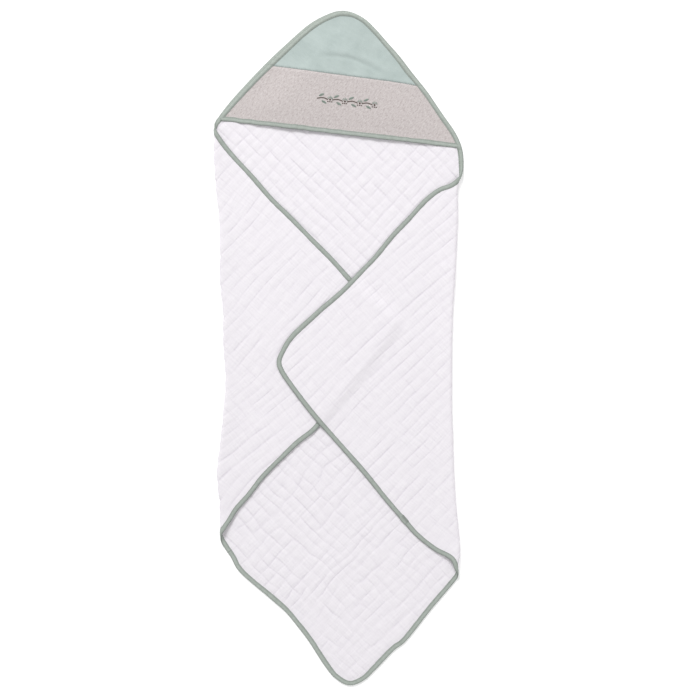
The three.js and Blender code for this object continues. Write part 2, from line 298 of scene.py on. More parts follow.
class Raster:
    """Heights on a grid, read back by place."""

    def __init__(self, low, high, step):
        self.low, self.step = np.asarray(low, float), step
        self.shape = tuple(int((h - l) / step) + 1 for l, h in zip(low, high))
        i, j = np.meshgrid(*(np.arange(n) for n in self.shape), indexing="ij")
        self.places = np.stack([i.ravel(), j.ravel()], axis=1) * step + self.low
        self.value = np.zeros(self.shape)

    def blur(self, radius):
        width = max(1, int(round(radius / self.step)))
        kernel = np.ones(2 * width + 1) / (2 * width + 1)
        for _ in range(3):
            for axis in (0, 1):
                self.value = np.apply_along_axis(
                    lambda row: np.convolve(np.pad(row, width, mode="edge"), kernel, "valid"),
                    axis, self.value)

    def read(self, x, y):
        u = np.clip((x - self.low[0]) / self.step, 0, self.shape[0] - 1.001)
        v = np.clip((y - self.low[1]) / self.step, 0, self.shape[1] - 1.001)
        i, j = u.astype(int), v.astype(int)
        a, b = u - i, v - j
        value = self.value
        return ((value[i, j] * (1 - a) + value[i + 1, j] * a) * (1 - b)
                + (value[i, j + 1] * (1 - a) + value[i + 1, j + 1] * a) * b)


def make_support():
    """How far the left flap and its binding lift the right flap."""
    raster = Raster((-240, -380), (240, 400), 4.0)
    plan = turned_out(edge_between(LEFT_FROM, LEFT_TO), LEFT)
    gap = nearest_on(raster.places, plan[::3])[0]
    under = inside(raster.places, plan)
    lift = np.where(under, LAYER, 0.0)
    lift = np.maximum(lift, (LAYER + 1.2) * smooth(1.6 - gap / (BINDING_HALF + 1)))
    raster.value = lift.reshape(raster.shape)
    raster.blur(4.0)
    return raster


SUPPORT = make_support()


def undulation(x, y, seed):
    return 0.7 * noise(x / 85, y / 85, seed) + 0.35 * noise(x / 34, y / 34, seed + 1)


def rest_height(side, x, y):
    """Middle of a flap's cloth where it has settled on what is under it."""
    height = CLOTH_Z + LAYER + 0.5 * undulation(x, y, 31 + side)
    if side == RIGHT:
        height = height + SUPPORT.read(x, y)
    return height


def flap_surface(side, plan):
    """Places on an opened flap's plan, folded over: points in space and the cloth's normals."""
    y = plan[:, 1]
    d = past_fold(side, plan)
    r = roll_radius(side, y)
    reach = ROLL * r
    turn = np.clip((d + reach) / r, 0, math.pi)
    line = fold_x(side, y)
    x = np.where(np.abs(d) < reach, line + side * (reach - r * np.sin(turn)),
                 line + side * np.abs(d)) - side * scallop(side, y) * np.sin(turn)
    settled = rest_height(side, x, y)
    crest = CLOTH_Z + 2 * r
    q = np.maximum(d - reach, 0) / 9.0
    z = np.where(d < reach, CLOTH_Z + r * (1 - np.cos(turn)),
                 settled + (crest - settled) * (1 + q) * np.exp(-q))
    point = np.stack([x, y, z], axis=1)
    normal = np.stack([side * np.sin(turn), np.zeros_like(y), np.cos(turn)], axis=1)
    return point, normal


def level(plan, height):
    """Places at a height over the plan, with normals that point straight up."""
    normal = np.zeros((len(plan), 3))
    normal[:, 2] = 1.0
    return np.column_stack([plan, height]), normal


def middle_surface(plan):
    return level(plan, np.full(len(plan), CLOTH_Z))


HOOD_FROM, HOOD_TO = (int(np.linalg.norm(EDGE - np.array(end), axis=1).argmin())
                      for end in (MOUTH[0], MOUTH[-1]))
HOOD_SIDES = edge_between(HOOD_FROM, HOOD_TO)


def from_sewn_edge(plan):
    return nearest_on(plan, HOOD_SIDES[::3])[0]


def hood_surface(plan):
    """The hood's front: sewn down along both sides and standing a little proud between."""
    x, y = plan[:, 0], plan[:, 1]
    inward = from_sewn_edge(plan)
    z = CLOTH_Z + HOOD_GAP + HOOD_RISE * smooth((inward - 2) / 62)
    z = z - 2.4 * smooth((inward - 4) / 50) * np.exp(
        -(nearest_on(plan, curve_through(MOUTH))[0] / 24) ** 2)
    free = smooth((inward - 5) / 22)
    z = z + free * (0.9 * noise(x / 70, y / 60, 41) + 0.3 * noise(x / 24, y / 30, 42))
    gap, along, foot = nearest_on(plan, curve_through(CREASE))
    reach = np.sin(math.pi * np.clip(along / 122, 0, 1)) ** 0.7
    above = np.where(plan[:, 1] > foot[:, 1], 1.0, -1.0)
    z = z - 1.5 * reach * np.exp(-(gap / 3.0) ** 2)
    z = z + 1.1 * reach * np.exp(-((gap * above - 8) / 6.5) ** 2)
    gap = nearest_on(plan, curve_through(SEAM))[0]
    z = z - 0.5 * np.exp(-(gap / 1.6) ** 2) + 0.3 * np.exp(-((gap - 3.5) / 2) ** 2)
    return level(plan, z)


# ---- crinkle ---------------------------------------------------------

def creases(x, y, angle, pitch, wander, seed):
    """Rows of puffs between creases. The angle is across the creases, and wander says how much
    they waver. Gives the rows' phase, whole at each crease, and the nearest crease's strength."""
    c, s = math.cos(math.radians(angle)), math.sin(math.radians(angle))
    u, v = x * c + y * s, y * c - x * s
    phase = (u / pitch + 0.50 * noise(u / 44, 0.5, seed + 5)
             + (0.16 + 0.34 * wander) * noise(u / 95, v / 130, seed)
             + (0.05 + 0.15 * wander) * noise(u / 30, v / 38, seed + 1)
             + 0.09 * wander * noise(u / 13, v / 15, seed + 4))
    line = np.round(phase)
    strength = np.clip(0.50 + 0.75 * noise(line * 3.7, v / 42, seed + 2)
                       + 0.50 * noise(line * 7.3, v / 15, seed + 3), 0.06, 1.0)
    return phase, strength


def family(phase, strength):
    """Puffed shape of one family of rows, from 0 in its creases to 1 on its crowns."""
    gap = np.abs(phase - np.round(phase))
    puff = (4 * gap * (1 - gap)) ** 0.6
    cut = strength * np.exp(-(gap / 0.15) ** 2)
    return 0.58 * puff + 0.42 * (1 - cut)


def crinkle(plan, over):
    """The crinkled cloth at places on the opened plan; over is 1 on a turned-over flap.
    Gives half the thickness, both families' phases and both families' strengths."""
    x, y = plan[:, 0], plan[:, 1]
    lower = smooth((30 - y) / 90)
    lower_right = lower * smooth((x + 0.35 * y + 190) / 150)
    falling = (1 - lower) * 1.0 + lower * (0.95 - 0.55 * lower_right)
    rising = (1 - lower) * 0.66 + lower * (0.80 + 0.25 * lower_right)
    patch = 0.25 * noise(x / 75, y / 75, 95)
    falling = np.clip(falling * (1 - over) + over * 0.92 + patch, 0.1, 1)
    rising = np.clip(rising * (1 - over) + over * 0.34 - patch, 0.1, 1)
    wander = (0.3 + 0.65 * lower) * (1 - over) + 0.12 * over
    phase_a, strength_a = creases(x, y, 46.0, 16.4, wander, 61)
    phase_b, strength_b = creases(x, y, -44.5, 17.4, wander, 71)
    strength_a, strength_b = strength_a * falling, strength_b * rising
    a, b = family(phase_a, strength_a), family(phase_b, strength_b)
    share = (1 - falling * (1 - a)) * (1 - rising * (1 - b))
    share = share * (1 + 0.16 * noise(x / 15, y / 15, 97))
    half = 0.42 + (1.05 - 0.30 * over) * share
    return half, np.stack([phase_a, phase_b], axis=1), np.stack([strength_a, strength_b], axis=1)


# ---- meshes ----------------------------------------------------------

GRAIN = np.array([[1, 1], [-1, 1]]) / math.sqrt(2)  # rows: the cloth's two thread directions


def clean_cells(mask):
    """Drops cells that hang on by one side or by a corner, so the sheet has one simple edge."""
    while True:
        pad = np.pad(mask, 1)
        sides = (pad[:-2, 1:-1].astype(int) + pad[2:, 1:-1] + pad[1:-1, :-2] + pad[1:-1, 2:])
        lone = mask & (sides < 2)
        a, b, c, d = mask[:-1, :-1], mask[1:, :-1], mask[:-1, 1:], mask[1:, 1:]
        pinch_1, pinch_2 = a & d & ~b & ~c, b & c & ~a & ~d
        lone[:-1, :-1] |= pinch_1
        lone[1:, :-1] |= pinch_2
        if not lone.any():
            return mask
        mask = mask & ~lone


class GrainGrid:
    """Square cells along the cloth's threads."""

    def to_grid(self, plan):
        return plan @ GRAIN.T

    def from_grid(self, places):
        return places @ GRAIN


class FoldGrid:
    """Cells along a fold, narrower where the cloth goes round its roll."""

    def __init__(self, side):
        self.side = side
        self.past = np.linspace(-700, 700, 28001)
        self.stretched = self.past + 11.0 * np.tanh(self.past / 6.0)

    def to_grid(self, plan):
        past = plan[:, 0] - fold_x(self.side, plan[:, 1])
        return np.stack([np.interp(past, self.past, self.stretched), plan[:, 1]], axis=1)

    def from_grid(self, places):
        past = np.interp(places[:, 0], self.stretched, self.past)
        return np.stack([past + fold_x(self.side, places[:, 1]), places[:, 1]], axis=1)


def grid_cells(outline, spacing, grid):
    """Cells that fill an outline: places and faces, with the places on the rim moved on to the
    outline, and the rim in order with its length along the outline."""
    turned = grid.to_grid(outline)
    low = np.floor(turned.min(0) / spacing).astype(int) - 1
    high = np.ceil(turned.max(0) / spacing).astype(int) + 1
    ni, nj = high - low
    i, j = np.meshgrid(np.arange(ni), np.arange(nj), indexing="ij")
    centres = (np.stack([i, j], axis=-1) + low + 0.5) * spacing
    mask = inside(grid.from_grid(centres.reshape(-1, 2)), outline).reshape(ni, nj)
    mask = clean_cells(mask)
    ci, cj = np.nonzero(mask)
    corner = lambda a, b: a * (nj + 1) + b
    faces = np.stack([corner(ci, cj), corner(ci + 1, cj), corner(ci + 1, cj + 1),
                      corner(ci, cj + 1)], axis=1)
    used, faces = np.unique(faces, return_inverse=True)
    faces = faces.reshape(-1, 4)
    places = grid.from_grid((np.stack([used // (nj + 1), used % (nj + 1)], axis=1) + low) * spacing)
    loops = np.concatenate([faces[:, [k, (k + 1) % 4]] for k in range(4)])
    key = loops[:, 0].astype(np.int64) * len(used) + loops[:, 1]
    back = loops[:, 1].astype(np.int64) * len(used) + loops[:, 0]
    open_edges = loops[~np.isin(key, back)]
    following = dict(open_edges.tolist())
    rim = [int(open_edges[0, 0])]
    while following[rim[-1]] != rim[0]:
        rim.append(following[rim[-1]])
    rim = np.array(rim)
    _, along, near = nearest_on(places[rim], outline, closed=True)
    places[rim] = near
    before, after = outline - np.roll(outline, 1, 0), np.roll(outline, -1, 0) - outline
    turn = before[:, 0] * after[:, 1] - before[:, 1] * after[:, 0]
    sharp = np.abs(turn) > 0.45 * np.linalg.norm(before, axis=1) * np.linalg.norm(after, axis=1)
    at = lengths(np.concatenate([outline, outline[:1]]))[:-1]
    for corner_place, corner_at in zip(outline[sharp], at[sharp]):
        gap = np.linalg.norm(places[rim] - corner_place, axis=1)
        if gap.min() < 2.5 * spacing:
            places[rim[gap.argmin()]] = corner_place
            along[gap.argmin()] = corner_at
    start = int(along.argmin())
    return places, faces, np.roll(rim, -start), np.roll(along, -start)


def zipped(upper, upper_at, lower, lower_at, total):
    """Triangles between two closed rims that run the same way round the same outline."""
    upper_at = np.append(upper_at, upper_at[0] + total)
    lower_at = np.append(lower_at, lower_at[0] + total)
    upper, lower = np.append(upper, upper[0]), np.append(lower, lower[0])
    i = j = 0
    made = []
    while i < len(upper) - 1 or j < len(lower) - 1:
        step_upper = j == len(lower) - 1 or (
            i < len(upper) - 1 and upper_at[i + 1] <= lower_at[j + 1])
        if step_upper:
            made.append((upper[i + 1], upper[i], lower[j]))
            i += 1
        else:
            made.append((upper[i], lower[j], lower[j + 1]))
            j += 1
    return made


def new_object(name, places, faces, material, flat_from=None, grain=None, layers=()):
    """A mesh object from millimetres in the drawing. Faces from flat_from on are shaded flat,
    and layers gives more pairs of numbers for each point, by name, for the material."""
    mesh = bpy.data.meshes.new(name)
    mesh.from_pydata(((places + ORIGIN) * MM).tolist(), [], faces)
    shade = np.ones(len(mesh.polygons), bool)
    if flat_from is not None:
        shade[flat_from:] = False
    mesh.polygons.foreach_set("use_smooth", shade)
    corner = np.empty(len(mesh.loops), np.int32)
    mesh.loops.foreach_get("vertex_index", corner)
    for layer_name, values in (("grain", grain * MM), *layers):
        layer = mesh.uv_layers.new(name=layer_name)
        layer.data.foreach_set("uv", values[corner].astype(np.float32).ravel())
    mesh.materials.append(material)
    mesh.update()
    made = bpy.data.objects.new(name, mesh)
    bpy.context.scene.collection.objects.link(made)
    return made


def shell(name, outline, surface, half, material, spacing, under=1.8, grid=GrainGrid()):
    """A closed thin sheet: both faces of a cloth whose middle is surface(plan). half(plan) gives
    half the thickness and the material's layers. The underside's cells are larger by the factor
    under."""
    total = lengths(np.concatenate([outline, outline[:1]]))[-1]
    parts = [grid_cells(outline, spacing * size, grid) for size in (1, under)]
    plans = [plan for plan, _, _, _ in parts]
    places, layers = [], []
    for turn, plan in zip((1, -1), plans):
        point, normal = surface(plan)
        thick, *more = half(plan)
        places.append(point + turn * normal * thick[:, None])
        layers.append(more)
    count = len(places[0])
    faces = parts[0][1].tolist() + (parts[1][1][:, ::-1] + count).tolist()
    flat_from = len(faces)
    faces += zipped(parts[0][2], parts[0][3], parts[1][2] + count, parts[1][3], total)
    plan = np.concatenate(plans)
    names = ("phase", "strength")
    layers = [(names[k], np.concatenate(pair)) for k, pair in enumerate(zip(*layers))]
    made = new_object(name, np.concatenate(places), faces, material, flat_from, plan @ GRAIN.T,
                      layers)
    return made, plan


def across_line(line, tangent, surface, inward):
    """For each place on a line: the step on the plan that goes one millimetre inwards across the
    line on the cloth's own surface."""
    normal = surface(line)[1]
    small = 0.05
    du = (surface(line + [small, 0])[0] - surface(line - [small, 0])[0]) / (2 * small)
    dv = (surface(line + [0, small])[0] - surface(line - [0, small])[0]) / (2 * small)
    along = du * tangent[:, :1] + dv * tangent[:, 1:]
    along /= np.linalg.norm(along, axis=1)[:, None]
    across = np.cross(along, normal) * inward
    across /= np.linalg.norm(across, axis=1)[:, None]
    uu, uv, vv = (du * du).sum(1), (du * dv).sum(1), (dv * dv).sum(1)
    ru, rv = (du * across).sum(1), (dv * across).sum(1)
    size = uu * vv - uv * uv
    return np.stack([(vv * ru - uv * rv) / size, (uu * rv - uv * ru) / size], axis=1)


def directions(line):
    tangent = np.gradient(line, axis=0)
    return tangent / np.linalg.norm(tangent, axis=1)[:, None]


def right_of(tangent):
    return np.stack([tangent[:, 1], -tangent[:, 0]], axis=1)


def sweep(name, line, tangent, surface, section, material, inward=1, start=0.0):
    """A folded tape along a line on the plan. section(line) gives each ring's points as
    (inwards, upwards) pairs, and the rings follow the cloth's own surface. start is the tape's
    length before the line."""
    step = across_line(line, tangent, surface, inward)
    rings = section(line)
    count, around = rings.shape[:2]
    places = np.empty((count, around, 3))
    plans = np.empty((count, around, 2))
    for k in range(around):
        plans[:, k] = line + rings[:, k, :1] * step
        base, up = surface(plans[:, k])
        places[:, k] = base + rings[:, k, 1:] * up
    index = np.arange(count * around).reshape(count, around)
    a, b = index[:-1], index[1:]
    quads = np.stack([a, np.roll(a, -1, 1), np.roll(b, -1, 1), b], axis=-1).reshape(-1, 4)
    if inward < 0:
        quads = quads[:, ::-1]
    faces = quads.tolist()
    flat_from = len(faces)
    ends = [index[0].tolist()[::-1], index[-1].tolist()]
    faces += ends if inward > 0 else [end[::-1] for end in ends]
    girth = np.concatenate([[0], np.cumsum(np.linalg.norm(np.diff(rings[0], axis=0), axis=1))])
    run = start + lengths(line)
    grain = np.stack(np.broadcast_arrays(run[:, None], girth[None]), axis=-1).reshape(-1, 2)
    made = new_object(name, places.reshape(-1, 3), faces, material, flat_from, grain)
    return made, plans.reshape(-1, 2)


# Half of the folded tape's section: (inwards, upwards). The other half mirrors it underneath.
TAPE = np.array([
    (3.85, 0.45), (3.80, 0.92), (3.35, 1.12), (2.75, 1.02), (2.1, 1.38), (1.1, 1.70),
    (-0.2, 1.80), (-1.5, 1.66), (-2.7, 1.25), (-3.5, 0.68), (-3.8, 0.0),
])
TAPE_RING = np.concatenate([TAPE, TAPE[-2::-1] * [1, -0.95]])
TAPE_GIRTH = float(lengths(TAPE_RING)[-1])


# ---- materials -------------------------------------------------------

class Look:
    """A material under construction: one Principled shader and the nodes that feed it."""

    def __init__(self, name, color, roughness, sheen=0.0):
        self.material = bpy.data.materials.new(name)
        self.material.use_nodes = True
        self.nodes = self.material.node_tree.nodes
        self.links = self.material.node_tree.links
        self.shader = self.nodes["Principled BSDF"]
        self.shader.inputs["Base Color"].default_value = (*color, 1)
        self.shader.inputs["Roughness"].default_value = roughness
        self.shader.inputs["Sheen Weight"].default_value = sheen
        self.shader.inputs["Sheen Roughness"].default_value = 0.5
        self.shader.inputs["Specular IOR Level"].default_value = 0.2
        self.material.diffuse_color = (*color, 1)
        self.bump = None

    def node(self, kind, **values):
        made = self.nodes.new(kind)
        for key, value in values.items():
            if key in made.inputs:
                made.inputs[key].default_value = value
            else:
                setattr(made, key, value)
        return made

    def coordinates(self, scale=(1, 1, 1), angle=0.0):
        """Grain coordinates in metres, scaled and turned."""
        source = self.node("ShaderNodeUVMap", uv_map="grain").outputs[0]
        mapping = self.node("ShaderNodeMapping")
        mapping.inputs["Scale"].default_value = scale
        mapping.inputs["Rotation"].default_value = (0, 0, math.radians(angle))
        self.links.new(source, mapping.inputs["Vector"])
        return mapping.outputs[0]

    def noise(self, vector, scale, detail=2.0, roughness=0.5):
        made = self.node("ShaderNodeTexNoise", Scale=scale, Detail=detail, Roughness=roughness)
        self.links.new(vector, made.inputs["Vector"])
        return made.outputs["Fac"]

    def wave(self, vector, scale, direction, distortion):
        made = self.node("ShaderNodeTexWave", bands_direction=direction, Scale=scale,
                         Distortion=distortion)
        self.links.new(vector, made.inputs["Vector"])
        return made.outputs["Fac"]

    def combine(self, operation, a, b):
        made = self.node("ShaderNodeMath", operation=operation)
        for socket, value in zip(made.inputs, (a, b)):
            if isinstance(value, (int, float)):
                socket.default_value = value
            else:
                self.links.new(value, socket)
        return made.outputs[0]

    def raise_by(self, height, distance, strength=1.0):
        """Adds a bump of a height field, in metres, over what is there already."""
        made = self.node("ShaderNodeBump", Strength=strength, Distance=distance)
        self.links.new(height, made.inputs["Height"])
        if self.bump:
            self.links.new(self.bump, made.inputs["Normal"])
        self.bump = made.outputs["Normal"]
        self.links.new(self.bump, self.shader.inputs["Normal"])

    def color_by(self, factor, stops):
        """A colour ramp. A stop's colour is three numbers, or one number for a grey."""
        ramp = self.node("ShaderNodeValToRGB")
        elements = ramp.color_ramp.elements
        while len(elements) < len(stops):
            elements.new(0.5)
        for element, (at, color) in zip(elements, stops):
            element.position = at
            element.color = (*np.broadcast_to(color, 3), 1)
        self.links.new(factor, ramp.inputs[0])
        return ramp.outputs[0]

    def paint(self, color, shade=None, amount=0.0):
        """Feeds the base colour, multiplied by a grey field by the amount given."""
        if shade is not None:
            mix = self.node("ShaderNodeMix", data_type="RGBA", blend_type="MULTIPLY")
            mix.inputs[0].default_value = amount
            self.links.new(color, mix.inputs[6])
            self.links.new(shade, mix.inputs[7])
            color = mix.outputs[2]
        self.links.new(color, self.shader.inputs["Base Color"])


def weave(look, threads, angle=0.0):
    """Height of a plain weave with so many threads to the metre each way."""
    vector = look.coordinates(angle=angle)
    scale = threads / math.tau * math.pi / 10
    return look.combine("MAXIMUM", *(look.wave(vector, scale, way, 0.6) for way in "XY"))


def crease_lines(look, width):
    """Thin lines in the valleys of the crinkle, from the phases that the mesh carries: painted shade
    in the colour, and a bump.
    """
    phase = look.node("ShaderNodeSeparateXYZ")
    strength = look.node("ShaderNodeSeparateXYZ")
    for name, split in (("phase", phase), ("strength", strength)):
        look.links.new(look.node("ShaderNodeUVMap", uv_map=name).outputs[0], split.inputs[0])
    lines = []
    for axis in (0, 1):
        gap = look.combine("PINGPONG", phase.outputs[axis], 0.5)
        line = look.node("ShaderNodeMapRange", interpolation_type="SMOOTHSTEP")
        line.inputs["From Min"].default_value = width
        line.inputs["From Max"].default_value = 0.0
        look.links.new(gap, line.inputs["Value"])
        lines.append(look.combine("MULTIPLY", line.outputs[0], strength.outputs[axis]))
    return look.combine("MAXIMUM", *lines)


def muslin_look():
    look = Look("muslin", (0.85, 0.825, 0.86), 0.96, sheen=0.2)
    ribs = look.noise(look.coordinates(scale=(1.0, 0.12, 1)), 330, 3.0, 0.6)
    cross = look.noise(look.coordinates(scale=(0.12, 1.0, 1)), 330, 3.0, 0.6)
    slubs = look.combine("ADD", ribs, cross)
    lines = crease_lines(look, 0.13)
    # Painted shade: the crease lines darken and cool the colour along the crinkle's valleys, while
    # the slubs give the cloth's own uneven tone.
    tone = look.combine("ADD", look.combine("MULTIPLY", slubs, 0.5),
                        look.combine("MULTIPLY", lines, -0.30))
    look.paint(look.color_by(tone, [
        (0.14, (0.745, 0.71, 0.76)), (0.34, (0.825, 0.79, 0.837)), (0.50, (0.858, 0.826, 0.866)),
        (0.66, (0.89, 0.862, 0.893))]))
    look.raise_by(slubs, 0.0009, 0.7)
    look.raise_by(look.combine("MULTIPLY", lines, -1.0), 0.0006, 0.45)
    look.raise_by(weave(look, 1500), 0.00012, 0.5)
    return look.material


def binding_look():
    look = Look("binding", (0.35, 0.395, 0.36), 0.85, sheen=0.25)
    tone = look.noise(look.coordinates(), 160, 4.0, 0.7)
    # Painted shade across the tape's girth: darker at its edges and in its stitched groove, where
    # the rolled tape turns away from the light, and lightest on its crown as a painted highlight.
    across = look.node("ShaderNodeSeparateXYZ")
    look.links.new(look.coordinates(scale=(1, 1 / (TAPE_GIRTH * MM), 1)), across.inputs[0])
    fold = look.color_by(across.outputs[1], [
        (0.0, 0.62), (0.05, 0.80), (0.12, 0.74), (0.20, 1.0), (0.36, 1.0), (0.46, 0.68), (0.5, 0.55),
        (0.58, 0.74), (0.68, 0.94), (0.84, 0.94), (0.93, 0.72), (1.0, 0.62)])
    look.paint(look.color_by(tone, [
        (0.25, (0.345, 0.385, 0.35)), (0.5, (0.40, 0.445, 0.405)), (0.8, (0.47, 0.52, 0.48))]),
        fold, 1.0)
    look.raise_by(weave(look, 1800, 45.0), 0.0002, 0.8)
    return look.material


def knit(look, wales):
    """Height of a fine jersey: rows of slanted loops."""
    return look.combine("MAXIMUM", *(
        look.wave(look.coordinates(scale=(1, 0.55, 1), angle=angle), wales / 20, "X", 0.4)
        for angle in (28, -28)))


def sage_look():
    look = Look("sage_jersey", (0.455, 0.53, 0.51), 0.9, sheen=0.3)
    vector = look.coordinates()
    tone = look.noise(vector, 35, 4.0, 0.6)
    fine = look.noise(vector, 900, 2.0)
    both = look.combine("ADD", look.combine("MULTIPLY", tone, 0.7),
                        look.combine("MULTIPLY", fine, 0.3))
    look.paint(look.color_by(both, [(0.3, (0.405, 0.475, 0.457)), (0.7, (0.505, 0.58, 0.56))]))
    look.raise_by(knit(look, 900), 0.0002, 0.7)
    return look.material


def melange_look():
    look = Look("oatmeal_melange", (0.57, 0.52, 0.51), 0.92, sheen=0.25)
    fibres = look.noise(look.coordinates(scale=(0.45, 1, 1), angle=-38), 430, 3.0, 0.75)
    flecks = look.noise(look.coordinates(scale=(0.5, 1, 1), angle=-38), 900, 2.0, 0.6)
    both = look.combine("ADD", look.combine("MULTIPLY", fibres, 0.65),
                        look.combine("MULTIPLY", flecks, 0.35))
    look.paint(look.color_by(both, [
        (0.30, (0.33, 0.285, 0.28)), (0.45, (0.535, 0.485, 0.477)), (0.60, (0.635, 0.59, 0.58)),
        (0.75, (0.74, 0.71, 0.69))]))
    look.raise_by(knit(look, 800), 0.00025, 0.7)
    look.raise_by(fibres, 0.0003, 0.4)
    return look.material


def plain_look(name, color, threads):
    look = Look(name, color, 0.92, sheen=0.2)
    tone = look.noise(look.coordinates(), 90, 3.0)
    darker = tuple(0.93 * c for c in color)
    look.paint(look.color_by(tone, [(0.3, darker), (0.7, color)]))
    look.raise_by(weave(look, threads), 0.00015, 0.6)
    return look.material


def thread_look(name, color):
    look = Look(name, color, 0.42, sheen=0.15)
    # Painted highlight: the thread's colour is lighter on the crowns of its twisted plies, where the
    # twist's bump stands up.
    twist = look.wave(look.coordinates(angle=35), 180, "X", 0.3)
    lighter = tuple(min(1.0, 1.35 * c) for c in color)
    look.paint(look.color_by(twist, [(0.2, color), (0.9, lighter)]))
    look.raise_by(twist, 0.0002, 0.6)
    return look.material


MUSLIN = muslin_look()
BINDING = binding_look()
SAGE = sage_look()
MELANGE = melange_look()
LINING = plain_look("hood_lining", (0.85, 0.83, 0.81), 1400)
BACKING = plain_look("backing", (0.90, 0.90, 0.88), 700)
DARK_THREAD = thread_look("dark_thread", (0.085, 0.06, 0.05))
SAGE_THREAD = thread_look("sage_thread", (0.235, 0.285, 0.25))
STITCH = thread_look("binding_thread", (0.33, 0.375, 0.335))


# ---- baked placement and bending weights -----------------------------

def bend(piece, weights):
    """Bakes a piece's placement into its mesh; nothing is bent, and the weights are not used."""
    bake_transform(piece)


FLAP_BODY = {
    LEFT: ("left_corner", "left_corner_fold"),
    RIGHT: ("right_corner", "right_corner_fold"),
}


def flap_weights(side, plan):
    """Weights that put the flap's bend on its fold line. Where the fold bulges out past its joint,
    they put the bend at the joint instead, so that the bulge wouldn't be pushed into the floor."""
    reach = ROLL * roll_radius(side, plan[:, 1])
    joint_x = JOINTS[FLAP_BODY[side][1]]["pos_m"][0] / MM - ORIGIN[0]
    bulge = np.maximum(side * (joint_x - fold_x(side, plan[:, 1])), 0)
    return smooth((past_fold(side, plan) - bulge + reach) / (2 * reach))


def bend_flap(side, piece, plan):
    bend(piece, flap_weights(side, plan))


SEWN = 3.0  # how far in from its sewn sides the hood's bending weight stays at nought
OPENING = 140.0  # how far further in that weight rises to one


def bend_hood(piece, plan):
    bend(piece, smooth((from_sewn_edge(plan) - SEWN) / OPENING))


# ---- the towel's cloth -----------------------------------------------

def pressed(plan, half):
    """Presses the cloth thin where the binding grips it, with small gathers along the binding."""
    gap, along, _ = nearest_on(plan, EDGE_COARSE, closed=True)
    free = smooth((gap - 2.5) / 9)
    gathers = 0.25 * np.exp(-((gap - 6) / 4) ** 2) * noise(along / 3.2, 0.5, 51)
    return 0.45 + (half - 0.45) * free + gathers


def middle_half(plan):
    half, phase, strength = crinkle(plan, np.zeros(len(plan)))
    rim = sum(smooth((past_fold(side, plan) + SPLIT + CROSSING) / CROSSING)
              for side in (LEFT, RIGHT))
    return pressed(plan, half) * (1 - 0.45 * rim), phase, strength


def flap_half(side):
    def half(plan):
        d = past_fold(side, plan)
        thick, phase, strength = crinkle(plan, smooth((d + 7) / 14))
        tongue = smooth((-SPLIT - CROSSING - d) / (TONGUE - CROSSING))
        return pressed(plan, thick) * (1 - 0.6 * tongue), phase, strength
    return half


def fold_cut(side, top, bottom, distance):
    """A line inside a fold, where the flap's piece begins, from top to bottom."""
    y = np.linspace(top, bottom, max(2, int(abs(top - bottom) / EDGE_STEP)))
    return np.stack([fold_x(side, y) + side * distance, y], axis=1)


def make_cloth():
    right_edge, left_edge = edge_between(RIGHT_FROM, RIGHT_TO), edge_between(LEFT_FROM, LEFT_TO)
    hood_edge, lower_edge = edge_between(LEFT_TO, RIGHT_FROM), edge_between(RIGHT_TO, LEFT_FROM)
    right_ends = (hood_edge[-1][1], lower_edge[0][1])
    left_ends = (hood_edge[0][1], lower_edge[-1][1])
    middle = np.concatenate([
        hood_edge, fold_cut(RIGHT, *right_ends, SPLIT)[1:-1],
        lower_edge, fold_cut(LEFT, *left_ends, SPLIT)[::-1][1:-1]])[::-1]
    made = {}
    piece, _ = shell("muslin_middle", middle, middle_surface, middle_half, MUSLIN, 2.2, 2.2)
    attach(piece, "towel")
    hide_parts("towel_middle")
    made["middle"] = (piece, middle)
    for side, edge, ends, name in ((RIGHT, right_edge, right_ends, "right"),
                                   (LEFT, left_edge, left_ends, "left")):
        cut = fold_cut(side, ends[0] - TONGUE, ends[1] + TONGUE, SPLIT + TONGUE)
        outline = np.concatenate([edge, cut[::-1] if side == RIGHT else cut])[::-1]
        piece, plan = shell(f"muslin_{name}_corner", outline,
                            lambda plan, side=side: flap_surface(side, plan), flap_half(side),
                            MUSLIN, 1.8, 1.5, FoldGrid(side))
        bend_flap(side, piece, plan)
        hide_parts(f"towel_{name}_corner")
        made[name] = (piece, outline)
    return made


# ---- binding ---------------------------------------------------------

def tape_section(scale=1.0, seed=81):
    """Rings of the folded tape with small puckers, which depend only on the place."""
    ring = TAPE_RING * scale

    def section(line):
        x, y = line[:, 0], line[:, 1]
        rings = np.repeat(ring[None], len(line), axis=0)
        pucker = 0.5 * noise(x / 3.6, y / 3.6, seed) + 0.5 * noise(x / 9, y / 9, seed + 1)
        inner = np.clip((ring[:, 0] - 0.5) / 3.4, 0, 1)[None]
        wide = 1 + 0.07 * noise(x / 36, y / 36, seed + 2)
        rings[..., 0] = rings[..., 0] * wide[:, None] + 0.28 * pucker[:, None] * inner
        rings[..., 1] *= 1 + 0.10 * pucker[:, None]
        return rings

    return section


def capsule(start, end, radius, around=6):
    """A short thread between two points, with pointed ends, as (points, faces)."""
    axis = end - start
    length = np.linalg.norm(axis)
    axis = axis / max(length, 1e-9)
    side = np.cross(axis, [0.0, 0.0, 1.0])
    if np.linalg.norm(side) < 1e-6:
        side = np.array([1.0, 0.0, 0.0])
    side /= np.linalg.norm(side)
    up = np.cross(side, axis)
    angle = np.arange(around) * math.tau / around
    circle = np.cos(angle)[:, None] * side + np.sin(angle)[:, None] * up
    stations = [(0.10, 0.62), (0.28, 0.95), (0.5, 1.0), (0.72, 0.95), (0.90, 0.62)]
    points = [start]
    for t, share in stations:
        points.extend(start + axis * length * t + circle * radius * share)
    points.append(end)
    faces = []
    for k in range(around):
        n = (k + 1) % around
        faces.append((0, 1 + n, 1 + k))
        for ring in range(len(stations) - 1):
            a, b = 1 + ring * around, 1 + (ring + 1) * around
            faces.append((a + k, a + n, b + n, b + k))
        a = 1 + (len(stations) - 1) * around
        faces.append((a + k, a + n, len(points) - 1))
    return np.array(points), faces


